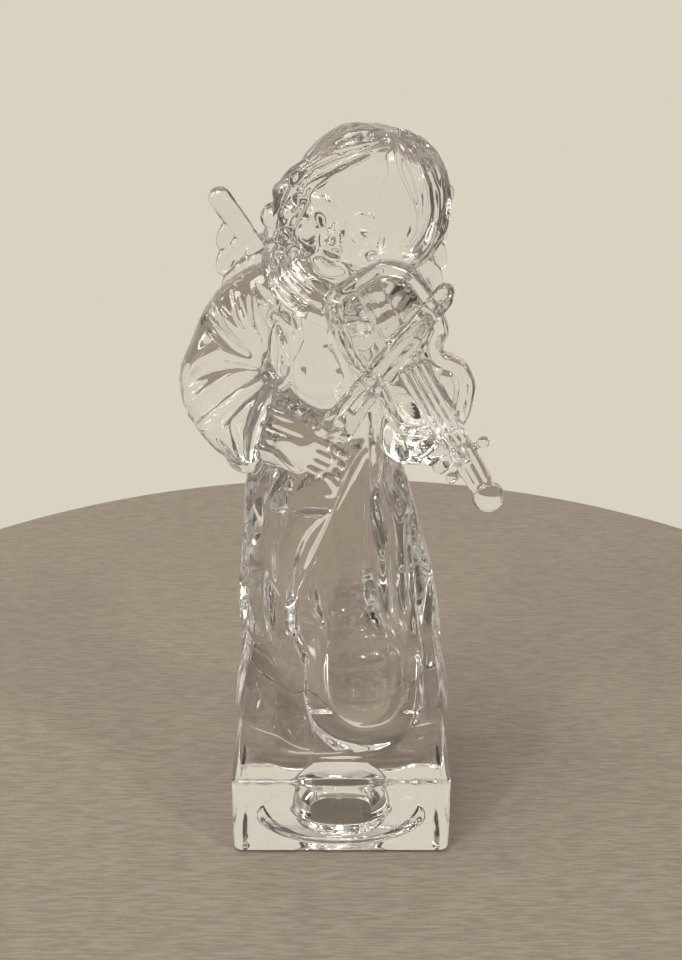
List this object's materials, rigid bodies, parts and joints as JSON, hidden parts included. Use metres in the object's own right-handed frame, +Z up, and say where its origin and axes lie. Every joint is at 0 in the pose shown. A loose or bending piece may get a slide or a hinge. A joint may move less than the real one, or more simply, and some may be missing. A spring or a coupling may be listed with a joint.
{
  "type": "crystal angel figurine",
  "caption": "Clear cast crystal statuette of a robed child angel playing a violin, on a square plinth with a hollowed underside.",
  "frame": {"origin": "centre of the square plinth's underside, on the surface that the statuette stands on", "axes": "+Z up through the plinth and the figure; the figure faces -Y; +X is on the figure's own left, where the violin's scroll points"},
  "size_m": [0.0853, 0.0635, 0.2],
  "materials": {
    "crystal": "fire-polished clear crystal"
  },
  "bodies": {
    "root": {"plinth": "crystal", "robe": "crystal", "mantle_edge_right": "crystal", "mantle_edge_left": "crystal", "torso": "crystal", "sleeve_right": "crystal", "sleeve_left": "crystal", "wing_right": "crystal", "wing_left": "crystal", "hair": "crystal", "collar": "crystal", "head": "crystal", "violin_body": "crystal", "hand_right": "crystal", "hand_left": "crystal", "pegbox": "crystal", "scroll": "crystal", "peg_left": "crystal", "peg_right": "crystal", "fingerboard": "crystal", "tailpiece": "crystal", "bridge": "crystal", "string_1": "crystal", "string_2": "crystal", "string_3": "crystal", "string_4": "crystal", "bow_stick": "crystal", "bow_frog": "crystal", "bow_hair": "crystal"}
  },
  "joints": []
}
